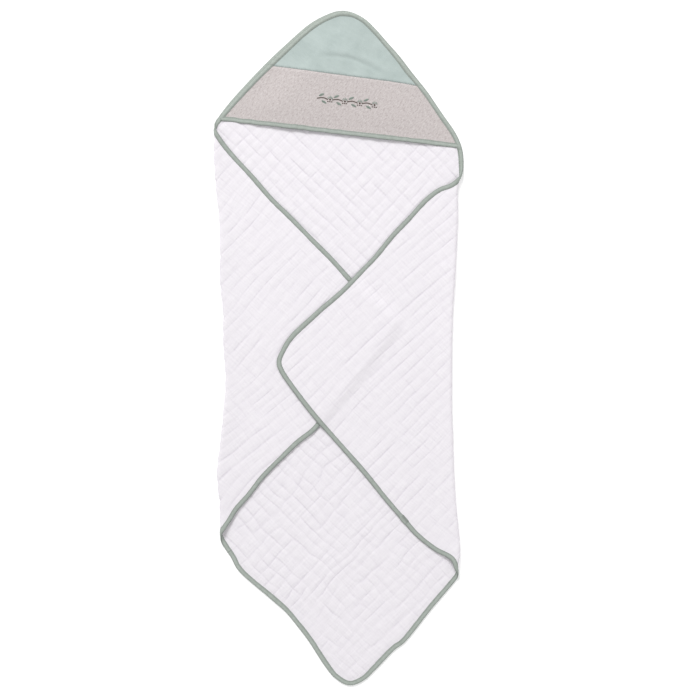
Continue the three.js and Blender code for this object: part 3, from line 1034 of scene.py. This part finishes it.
def threads_object(name, strands, material):
    """One object from many short threads: (start, end, radius, plan) each."""
    points, faces, plans, grain, count = [], [], [], [], 0
    for start, end, radius, plan in strands:
        made, skin = capsule(np.asarray(start, float), np.asarray(end, float), radius)
        points.append(made)
        faces.extend(tuple(k + count for k in face) for face in skin)
        plans.append(np.repeat([plan], len(made), axis=0))
        grain.append(np.stack([np.linspace(0, 3, len(made)), np.linspace(0, 1, len(made))], axis=1))
        count += len(made)
    piece = new_object(name, np.concatenate(points), faces, material, grain=np.concatenate(grain))
    return piece, np.concatenate(plans)


def stitch_row(name, line, tangent, surface, inset, height, inward=1, long=2.7, gap=0.7):
    """Running stitches along a tape, on its face and on its back."""
    row = line + across_line(line, tangent, surface, inward) * inset
    at = lengths(row)
    starts = np.arange(1.0, at[-1] - long, long + gap)
    strands = []
    a, b = (np.stack([np.interp(s, at, row[:, k]) for k in (0, 1)], axis=1)
            for s in (starts, starts + long))
    (pa, na), (pb, nb) = surface(a), surface(b)
    for lift in (height, -0.92 * height):
        strands.extend((p, q, 0.24, m) for p, q, m in zip(pa + na * lift, pb + nb * lift, a))
    return threads_object(name, strands, STITCH)


TAPE_BEFORE, TAPE_AFTER = 2, 4  # steps that the hood's tape runs on past the mouth's ends
SINKING = 8.0  # how far from its ends that tape sinks into the towel's binding


def hood_tape_line():
    """The tape along the hood's own edge. Down the hood's left side it lies a little inside the
    towel's own binding, so that both show."""
    index = stretch(HOOD_FROM - TAPE_BEFORE, HOOD_TO + TAPE_AFTER)
    line, tangent = EDGE[index], EDGE_DIRECTIONS[index]
    at = lengths(line)
    left = at / at[len(line) // 2]
    right = (at - at[len(line) // 2]) / (at[-1] - at[len(line) // 2])
    inset = 3.4 * np.sin(math.pi * np.clip(left, 0, 1)) ** 0.6 + 1.1 * np.exp(
        -((right - 0.42) / 0.10) ** 2) + 0.35
    return line + right_of(tangent) * inset[:, None], tangent


def make_binding():
    made = []
    stretches = (
        ("binding_round_hood", LEFT_TO, RIGHT_FROM, None, "binding_hood_edge"),
        ("binding_round_lower_corner", RIGHT_TO, LEFT_FROM, None, "binding_lower_corner"),
        ("binding_round_left_corner", LEFT_FROM, LEFT_TO, LEFT, "binding_left_corner"),
        ("binding_round_right_corner", RIGHT_FROM, RIGHT_TO, RIGHT, "binding_right_corner"),
    )
    for name, first, last, side, node in stretches:
        index = stretch(first, last)
        line, tangent = EDGE[index], EDGE_DIRECTIONS[index]
        surface = middle_surface if side is None else (
            lambda plan, side=side: flap_surface(side, plan))
        piece, plan = sweep(name, line, tangent, surface, tape_section(), BINDING,
                            start=lengths(EDGE)[first])
        seam, seam_plan = stitch_row(name.replace("binding", "stitching"), line, tangent, surface,
                                     2.75, 1.1)
        for item, at in ((piece, plan), (seam, seam_plan)):
            if side is None:
                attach(item, "towel")
            else:
                bend_flap(side, item, at)
        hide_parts(node)
        made.append(piece)
    line, tangent = hood_tape_line()

    def sinking(plan):
        """The hood's edge, which runs into the towel's own binding at both ends."""
        point, normal = hood_surface(plan)
        from_end = np.minimum(*(np.linalg.norm(plan - line[end], axis=1) for end in (0, -1)))
        point[:, 2] -= (point[:, 2] - CLOTH_Z + 0.3) * smooth(1 - from_end / SINKING)
        return point, normal

    piece, _ = sweep("hood_edge_tape", line, tangent, sinking, tape_section(0.92, 89), BINDING)
    seam, _ = stitch_row("hood_edge_stitching", line, tangent, sinking, 2.5, 1.0)
    for item in (piece, seam):
        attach(item, "towel")
    return made


LAP_AT = (103, -277)


def make_lap_join():
    """The tape's folded end, lapped over its start on the right flap's lower edge."""
    plan = turned_out([LAP_AT], RIGHT)[0]
    start = int(np.linalg.norm(EDGE - plan, axis=1).argmin())
    line = resampled(edge_between(start - 3, start + 3), 0.8)
    surface = lambda plan: flap_surface(RIGHT, plan)
    piece, at = sweep("binding_lap_end", line, directions(line), surface, tape_section(1.2), BINDING)
    bend_flap(RIGHT, piece, at)
    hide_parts("binding_lap_join")
    return piece


# ---- hood ------------------------------------------------------------

def crossing(line, edge):
    """Where a line on the plan, cut off by the outline, enters and leaves it: indices of edge."""
    distance = nearest_on(edge, line)[0]
    half = len(edge) // 2
    return int(distance[:half].argmin()), half + int(distance[half:].argmin())


MOUTH_LINE = resampled(curve_through(MOUTH), EDGE_STEP)
SEAM_LINE = resampled(curve_through(SEAM), EDGE_STEP)


HOOD_INSET = 1.5  # the panels' sewn sides, inside the towel's edge


def hood_outlines():
    """Plans of the hood's two panels and of its lining."""
    sides = HOOD_SIDES + right_of(directions(HOOD_SIDES)) * HOOD_INSET
    low = crossing(MOUTH_LINE, sides)
    mid = crossing(SEAM_LINE, sides)
    between = lambda line, ends, clear: line[(line[:, 0] > sides[ends[0], 0] + clear)
                                             & (line[:, 0] < sides[ends[1], 0] - clear)]
    mouth, seam = between(MOUTH_LINE, low, 1.0), between(SEAM_LINE, mid, 1.0)
    seam = seam + np.stack([0 * seam[:, 0], 0.35 * noise(seam[:, 0] / 5, 0.5, 45)], axis=1)
    seam_gap = np.array([0, 0.03])
    upper = np.concatenate([sides[mid[0]:mid[1] + 1], seam[::-1] + seam_gap])
    band = np.concatenate([sides[low[0]:mid[0] + 1], seam - seam_gap, sides[mid[1]:low[1] + 1],
                           mouth[::-1]])
    whole = np.concatenate([sides[low[0]:low[1] + 1], mouth[::-1]])
    return upper[::-1], band[::-1], whole[::-1], between(MOUTH_LINE, low, -1.8)


def flat_half(thickness):
    return lambda plan: (np.full(len(plan), thickness),)


def lowered(surface, drop):
    def lie(plan):
        point, normal = surface(plan)
        return point - normal * drop, normal
    return lie


def make_hood():
    upper, band, whole, mouth = hood_outlines()
    made = {}
    panels = (
        ("hood_sage_panel", upper, hood_surface, PANEL_HALF, SAGE, 2.2, "hood_upper_panel",
         "sage_jersey"),
        ("hood_melange_band", band, hood_surface, PANEL_HALF, MELANGE, 2.2, "hood_band",
         "oatmeal_melange"),
        ("hood_inner_lining", whole, lowered(hood_surface, 1.1), 0.3, LINING, 3.2, "hood_lining",
         "hood_lining"),
    )
    for name, outline, surface, half, material, spacing, node, slot in panels:
        piece, plan = shell(name, outline, surface, flat_half(half), material, spacing, 1.6)
        bend_hood(piece, plan)
        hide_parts(node)
        made[name] = (piece, outline)
    mouth = mouth + np.stack([0 * mouth[:, 0], 0.55 * noise(mouth[:, 0] / 6, 0.5, 46)], axis=1)
    mouth_surface = lowered(hood_surface, 0.35)
    tangent = directions(mouth)
    piece, plan = sweep("hood_mouth_tape", mouth, tangent, mouth_surface, tape_section(0.98, 87),
                        BINDING, inward=-1)
    seam, seam_plan = stitch_row("hood_mouth_stitching", mouth, tangent, mouth_surface, 2.7, 1.1,
                                 inward=-1)
    for item, at in ((piece, plan), (seam, seam_plan)):
        bend_hood(item, at)
    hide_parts("hood_mouth_binding")
    made["mouth"] = (piece, mouth)
    return made


# ---- embroidery ------------------------------------------------------

def place_of(node):
    """Middle and size of a CAD node in the drawing, in millimetres."""
    low, high = (np.array(corner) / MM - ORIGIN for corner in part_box(node))
    return (low + high) / 2, high - low


ROW_TILT = math.radians(-7)
ALONG = np.array([math.cos(ROW_TILT), math.sin(ROW_TILT)])
ACROSS = np.array([-ALONG[1], ALONG[0]])


LEAF = {"length": 8.6, "width": 3.4, "tilt": math.radians(26)}
KNOT_SIZE = 3.2
STEM_WAVE = 2.2  # how far a stem arches
STABILISER = (112, 26)
DARK = (DARK_THREAD, "dark_thread")
GREEN = (SAGE_THREAD, "sage_thread")


def on_hood(points, lift):
    """Places a little above the hood's outer face."""
    base, up = hood_surface(np.atleast_2d(points))
    return base + up * (PANEL_HALF + lift)


def satin_leaf(middle, tilt):
    """Slanted satin stitches side by side across a leaf's shape."""
    length, width = LEAF["length"], LEAF["width"]
    direction = np.array([math.cos(tilt), math.sin(tilt)])
    normal = np.array([-direction[1], direction[0]])
    strands = []
    count = 17
    for k in range(count):
        t = (k + 0.5) / count
        half = width / 2 * math.sin(math.pi * t) ** 0.75 + 0.15
        at = middle + direction * (t - 0.5) * length
        lean = direction * 0.55
        a, b = at - normal * half - lean, at + normal * half + lean
        start, end = on_hood([a, b], 0.12)
        crown = on_hood([at], 0.55)[0]
        strands += [(start, crown, 0.36, at), (crown, end, 0.36, at)]
    return strands


def stem_stitches(middle, length):
    """Short overlapping stitches along an arched stem, two rows wide."""
    strands = []
    count = 9
    for row in (-0.32, 0.32):
        for k in range(count):
            t0, t1 = (k - 0.25) / count, (k + 1.15) / count
            t0, t1 = max(t0, 0.0), min(t1, 1.0)
            ends = []
            for t, off in ((t0, row - 0.2), (t1, row + 0.2)):
                at = middle + ALONG * (t - 0.5) * length
                at = at + ACROSS * (STEM_WAVE * (math.sin(math.pi * t) - 0.5) + off)
                ends.append(at)
            p, q = on_hood(ends, 0.32)
            strands.append((p, q, 0.42, ends[0]))
    return strands


def knot_stitches(middle):
    """A French knot: three rings of short threads, the inner ones higher."""
    strands = []
    for count, share, lift in ((10, 0.36, 0.35), (8, 0.22, 0.75), (5, 0.08, 1.0)):
        radius = KNOT_SIZE * share
        for k in range(count):
            a, b = (math.tau * (k + e) / count for e in (-0.12, 1.12))
            ends = [middle + radius * np.array([math.cos(v), math.sin(v)]) for v in (a, b)]
            p, q = on_hood(ends, lift)
            strands.append((p, q, 0.40, middle))
    return strands


def spray_stitches(middle):
    """A fan of short straight stitches above a knot."""
    strands = []
    for k, angle in enumerate((-58, -30, 0, 30, 58)):
        way = math.cos(math.radians(angle)) * ACROSS + math.sin(math.radians(angle)) * ALONG
        ends = [middle + way * 2.3, middle + way * (6.2 - 0.5 * abs(k - 2))]
        for offset in (-0.28, 0.28):
            across = np.array([way[1], -way[0]]) * offset
            p, q = on_hood([ends[0] + across, ends[1] + across], 0.22)
            strands.append((p, q, 0.34, ends[0]))
    return strands


def dash_stitches(middle):
    """Three small satin dashes in a row under a knot."""
    strands = []
    for k in (-1, 0, 1):
        at = middle - ACROSS * 3.4 + ALONG * 3.1 * k
        for offset in (-0.45, 0.0, 0.45):
            ends = [at + ACROSS * offset - ALONG * 1.15, at + ACROSS * offset + ALONG * 1.15]
            p, q = on_hood(ends, 0.25)
            strands.append((p, q, 0.36, at))
    return strands


def motif(node):
    """A stitched node's own piece and then what is stitched beside it: name, strands, thread."""
    middle, size = place_of(node)
    middle = middle[:2]
    _, kind, number, *way = node.split("_")
    name = node.replace("embroidered", "stitched")
    if kind == "stem":
        return [(name, stem_stitches(middle, size[0]), DARK)]
    if kind == "leaf":
        tilt = LEAF["tilt"] if way == ["up"] else -LEAF["tilt"]
        return [(name, satin_leaf(middle, tilt + ROW_TILT), GREEN)]
    return [(name, knot_stitches(middle), DARK),
            (f"stitched_spray_{number}", spray_stitches(middle), GREEN),
            (f"stitched_dashes_{number}", dash_stitches(middle), DARK)]


def make_embroidery():
    made = []
    for node in sorted(name for name in frame["nodes"] if name.startswith("embroidered_")):
        for k, (name, strands, (material, slot)) in enumerate(motif(node)):
            piece, plan = threads_object(name, strands, material)
            bend_hood(piece, plan)
            if k == 0:
                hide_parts(node)
            made.append(piece)
    middle, _ = place_of("embroidery_backing")
    corners = [middle[:2] + ALONG * a * STABILISER[0] / 2 + ACROSS * b * STABILISER[1] / 2
               for a, b in ((-1, -1), (1, -1), (1, 1), (-1, 1))]
    outline = resampled(np.array(corners + corners[:1]), 3.0)[:-1]
    piece, plan = shell("embroidery_stabiliser", outline, lowered(hood_surface, 0.6),
                        flat_half(0.1), BACKING, 4.0, 1.0)
    bend_hood(piece, plan)
    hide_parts("embroidery_backing")
    return made, (piece, outline)


# ---- floor, light and camera -----------------------------------------

VIEW_WIDTH = 1125.5  # what the picture spans, in the drawing's millimetres
VIEW_MIDDLE = (16.0, -3.2)
VIEW_PLANE = 0.005  # height in metres at which the picture spans that width


def make_floor():
    mesh = bpy.data.meshes.new("floor")
    size = 8.0
    mesh.from_pydata([(-size, -size, 0), (size, -size, 0), (size, size, 0), (-size, size, 0)], [],
                     [(0, 1, 2, 3)])
    look = bpy.data.materials.new("floor")
    look.use_nodes = True
    shader = look.node_tree.nodes["Principled BSDF"]
    shader.inputs["Base Color"].default_value = (0.97, 0.97, 0.97, 1)
    shader.inputs["Roughness"].default_value = 1.0
    shader.inputs["Specular IOR Level"].default_value = 0.0
    shader.inputs["Emission Color"].default_value = (1, 1, 1, 1)
    shader.inputs["Emission Strength"].default_value = 0.2
    mesh.materials.append(look)
    floor = bpy.data.objects.new("floor", mesh)
    bpy.context.scene.collection.objects.link(floor)
    floor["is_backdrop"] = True


def area_light(name, place, size, power):
    """A round soft light that faces the middle of the frame."""
    data = bpy.data.lights.new(name, "AREA")
    data.shape = "DISK"
    data.size = size
    data.energy = power
    lamp = bpy.data.objects.new(name, data)
    lamp.location = place
    lamp.rotation_euler = (-Vector(place)).to_track_quat("-Z", "Y").to_euler()
    bpy.context.scene.collection.objects.link(lamp)


def make_light():
    world = bpy.data.worlds.new("studio")
    world.use_nodes = True
    background = world.node_tree.nodes["Background"]
    background.inputs["Color"].default_value = (1, 1, 1, 1)
    background.inputs["Strength"].default_value = 0.52
    bpy.context.scene.world = world
    area_light("key", (-1.4, 4.2, 3.6), 2.2, 218)
    area_light("fill", (1.8, -2.6, 3.4), 3.0, 36)


def make_camera():
    data = bpy.data.cameras.new("camera")
    data.lens = 130.0
    data.sensor_width = 36.0
    camera = bpy.data.objects.new("camera", data)
    middle = (np.array([*VIEW_MIDDLE, 0]) + ORIGIN) * MM
    distance = VIEW_WIDTH * MM * data.lens / data.sensor_width
    camera.location = (middle[0], middle[1], distance + VIEW_PLANE)
    bpy.context.scene.collection.objects.link(camera)
    bpy.context.scene.camera = camera
    bpy.context.scene.view_settings.view_transform = "Standard"
    bpy.context.scene.view_settings.look = "None"


# ---- everything ------------------------------------------------------


make_camera()
make_light()
make_floor()
cloth = make_cloth()
bindings = make_binding()
lap = make_lap_join()
hood = make_hood()
stitched, stabiliser = make_embroidery()

visual_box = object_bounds()
({name: [list(map(float, corner)) for corner in box]
           for name, box in (("cad", CAD_BOX), ("visual", visual_box))})
